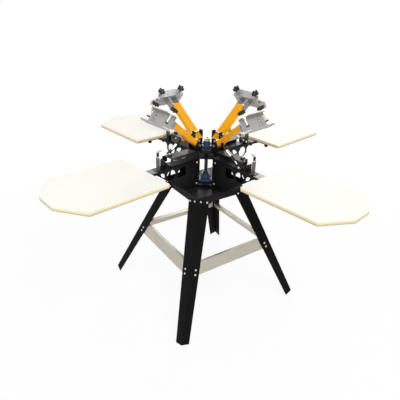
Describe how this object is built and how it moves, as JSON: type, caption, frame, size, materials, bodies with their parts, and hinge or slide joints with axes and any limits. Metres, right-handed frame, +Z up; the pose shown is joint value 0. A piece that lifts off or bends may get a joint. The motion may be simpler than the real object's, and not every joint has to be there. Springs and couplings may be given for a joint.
{
  "type": "screen printing press",
  "caption": "Carousel garment press on a splayed stand: cross of wide pallets under a turning cross of lifting print heads with screen clamps and gas struts.",
  "frame": {"origin": "on the floor, under the centre shaft", "axes": "+Z up along the shaft; station 1 lies along +X and stations 2 to 4 follow at quarter turns anticlockwise"},
  "size_m": [1.8325, 1.8498, 1.2328],
  "materials": {
    "black_powder": "glossy powder coat",
    "brace_steel": "brushed, clear",
    "zinc": "bright zinc plate",
    "shaft_steel": "oiled ground bar",
    "bearing_blue": "blue housing enamel",
    "pallet_board": "ivory laminate, pale edge",
    "pallet_fittings": "satin black",
    "orange_powder": "glossy powder coat",
    "clamp_alloy": "brushed mill finish",
    "fork_steel": "plated",
    "knob_black": "moulded knob on a plated screw",
    "roller_black": "black sleeve under a plated head",
    "strut_black": "gloss black with a plain band",
    "strut_rod": "hard chrome"
  },
  "bodies": {
    "stand": {"table_plate": "black_powder", "leg_1": "black_powder", "leg_2": "black_powder", "leg_3": "black_powder", "leg_4": "black_powder", "braces": "brace_steel", "stand_bolts": "zinc", "shaft": "shaft_steel", "shaft_nut": "zinc"},
    "pallet_carousel": {"carousel_base": "black_powder", "carousel_cap": "black_powder", "lower_bearing": "bearing_blue", "hub_bolts": "zinc", "arm_posts": "black_powder", "post_rollers": "roller_black", "pallet_arm_1": "black_powder", "pallet_arm_2": "black_powder", "pallet_arm_3": "black_powder", "pallet_arm_4": "black_powder"},
    "print_carousel": {"turret_disc": "black_powder", "upper_bearing": "bearing_blue", "outriggers": "black_powder", "clevises": "black_powder", "carousel_bolts": "zinc"},
    "platen_1": {"pallet_1": "pallet_board", "pallet_clamp_1": "pallet_fittings"},
    "head_1": {"print_arm_1": "orange_powder", "fork_1": "fork_steel", "screen_clamp_1": "clamp_alloy"},
    "screw_1a": {"clamp_screw_1a": "knob_black"},
    "screw_1b": {"clamp_screw_1b": "knob_black"},
    "strut_tube_1": {"strut_body_1": "strut_black"},
    "strut_stem_1": {"strut_rod_1": "strut_rod"},
    "platen_2": {"pallet_2": "pallet_board", "pallet_clamp_2": "pallet_fittings"},
    "head_2": {"print_arm_2": "orange_powder", "fork_2": "fork_steel", "screen_clamp_2": "clamp_alloy"},
    "screw_2a": {"clamp_screw_2a": "knob_black"},
    "screw_2b": {"clamp_screw_2b": "knob_black"},
    "strut_tube_2": {"strut_body_2": "strut_black"},
    "strut_stem_2": {"strut_rod_2": "strut_rod"},
    "platen_3": {"pallet_3": "pallet_board", "pallet_clamp_3": "pallet_fittings"},
    "head_3": {"print_arm_3": "orange_powder", "fork_3": "fork_steel", "screen_clamp_3": "clamp_alloy"},
    "screw_3a": {"clamp_screw_3a": "knob_black"},
    "screw_3b": {"clamp_screw_3b": "knob_black"},
    "strut_tube_3": {"strut_body_3": "strut_black"},
    "strut_stem_3": {"strut_rod_3": "strut_rod"},
    "platen_4": {"pallet_4": "pallet_board", "pallet_clamp_4": "pallet_fittings"},
    "head_4": {"print_arm_4": "orange_powder", "fork_4": "fork_steel", "screen_clamp_4": "clamp_alloy"},
    "screw_4a": {"clamp_screw_4a": "knob_black"},
    "screw_4b": {"clamp_screw_4b": "knob_black"},
    "strut_tube_4": {"strut_body_4": "strut_black"},
    "strut_stem_4": {"strut_rod_4": "strut_rod"}
  },
  "joints": [
    {"name": "pallet_carousel_turn", "type": "hinge", "parent": "stand", "child": "pallet_carousel", "pos_m": [0, 0, 0.75], "axis": [0, 0, 1], "continuous": true},
    {"name": "print_carousel_turn", "type": "hinge", "parent": "stand", "child": "print_carousel", "pos_m": [0, 0, 0.95], "axis": [0, 0, 1], "continuous": true},
    {"name": "pallet_slide_1", "type": "slide", "parent": "pallet_carousel", "child": "platen_1", "axis": [1, 0, 0], "range_m": [-0.0499, 0.0136]},
    {"name": "head_lower_1", "type": "hinge", "parent": "print_carousel", "child": "head_1", "pos_m": [0.0865, 0, 0.98], "axis": [0, 1, 0], "range_deg": [0, 41]},
    {"name": "strut_swing_1", "type": "hinge", "parent": "print_carousel", "child": "strut_stem_1", "pos_m": [0.286, -0.04, 0.923], "axis": [0, -1, 0], "range_deg": [0, 18.5]},
    {"name": "strut_stroke_1", "type": "slide", "parent": "strut_stem_1", "child": "strut_tube_1", "axis": [0.8302, 0, -0.5575], "range_m": [0, 0.0256]},
    {"name": "clamp_1a", "type": "slide", "parent": "head_1", "child": "screw_1a", "axis": [0.6561, 0, -0.7547], "range_m": [-0.025, 0.012]},
    {"name": "clamp_1b", "type": "slide", "parent": "head_1", "child": "screw_1b", "axis": [0.6561, 0, -0.7547], "range_m": [-0.025, 0.012]},
    {"name": "pallet_slide_2", "type": "slide", "parent": "pallet_carousel", "child": "platen_2", "axis": [0, 1, 0], "range_m": [-0.0204, 0.0431]},
    {"name": "head_lower_2", "type": "hinge", "parent": "print_carousel", "child": "head_2", "pos_m": [0, 0.0865, 0.98], "axis": [-1, 0, 0], "range_deg": [0, 41]},
    {"name": "strut_swing_2", "type": "hinge", "parent": "print_carousel", "child": "strut_stem_2", "pos_m": [0.04, 0.286, 0.923], "axis": [1, 0, 0], "range_deg": [0, 18.5]},
    {"name": "strut_stroke_2", "type": "slide", "parent": "strut_stem_2", "child": "strut_tube_2", "axis": [0, 0.8302, -0.5575], "range_m": [0, 0.0256]},
    {"name": "clamp_2a", "type": "slide", "parent": "head_2", "child": "screw_2a", "axis": [0, 0.6561, -0.7547], "range_m": [-0.025, 0.012]},
    {"name": "clamp_2b", "type": "slide", "parent": "head_2", "child": "screw_2b", "axis": [0, 0.6561, -0.7547], "range_m": [-0.025, 0.012]},
    {"name": "pallet_slide_3", "type": "slide", "parent": "pallet_carousel", "child": "platen_3", "axis": [-1, 0, 0], "range_m": [-0.0005, 0.063]},
    {"name": "head_lower_3", "type": "hinge", "parent": "print_carousel", "child": "head_3", "pos_m": [-0.0865, 0, 0.98], "axis": [0, -1, 0], "range_deg": [-3, 38]},
    {"name": "strut_swing_3", "type": "hinge", "parent": "print_carousel", "child": "strut_stem_3", "pos_m": [-0.286, 0.04, 0.923], "axis": [0, 1, 0], "range_deg": [-1.58, 17.71]},
    {"name": "strut_stroke_3", "type": "slide", "parent": "strut_stem_3", "child": "strut_tube_3", "axis": [-0.8379, 0, -0.5459], "range_m": [-0.002, 0.0223]},
    {"name": "clamp_3a", "type": "slide", "parent": "head_3", "child": "screw_3a", "axis": [-0.6157, 0, -0.788], "range_m": [-0.025, 0.012]},
    {"name": "clamp_3b", "type": "slide", "parent": "head_3", "child": "screw_3b", "axis": [-0.6157, 0, -0.788], "range_m": [-0.025, 0.012]},
    {"name": "pallet_slide_4", "type": "slide", "parent": "pallet_carousel", "child": "platen_4", "axis": [0, -1, 0], "range_m": [-0.0472, 0.0163]},
    {"name": "head_lower_4", "type": "hinge", "parent": "print_carousel", "child": "head_4", "pos_m": [0, -0.0865, 0.98], "axis": [1, 0, 0], "range_deg": [0, 41]},
    {"name": "strut_swing_4", "type": "hinge", "parent": "print_carousel", "child": "strut_stem_4", "pos_m": [-0.04, -0.286, 0.923], "axis": [-1, 0, 0], "range_deg": [0, 18.5]},
    {"name": "strut_stroke_4", "type": "slide", "parent": "strut_stem_4", "child": "strut_tube_4", "axis": [0, -0.8302, -0.5575], "range_m": [0, 0.0256]},
    {"name": "clamp_4a", "type": "slide", "parent": "head_4", "child": "screw_4a", "axis": [0, -0.6561, -0.7547], "range_m": [-0.025, 0.012]},
    {"name": "clamp_4b", "type": "slide", "parent": "head_4", "child": "screw_4b", "axis": [0, -0.6561, -0.7547], "range_m": [-0.025, 0.012]}
  ],
  "couplings": [
    {"joint": "strut_swing_1", "follows": "head_lower_1", "ratio": 0.44694},
    {"joint": "strut_stroke_1", "follows": "head_lower_1", "m_per_rad": 0.035656},
    {"joint": "strut_swing_2", "follows": "head_lower_2", "ratio": 0.44694},
    {"joint": "strut_stroke_2", "follows": "head_lower_2", "m_per_rad": 0.035656},
    {"joint": "strut_swing_3", "follows": "head_lower_3", "ratio": 0.46118},
    {"joint": "strut_stroke_3", "follows": "head_lower_3", "m_per_rad": 0.033533},
    {"joint": "strut_swing_4", "follows": "head_lower_4", "ratio": 0.44694},
    {"joint": "strut_stroke_4", "follows": "head_lower_4", "m_per_rad": 0.035656}
  ]
}
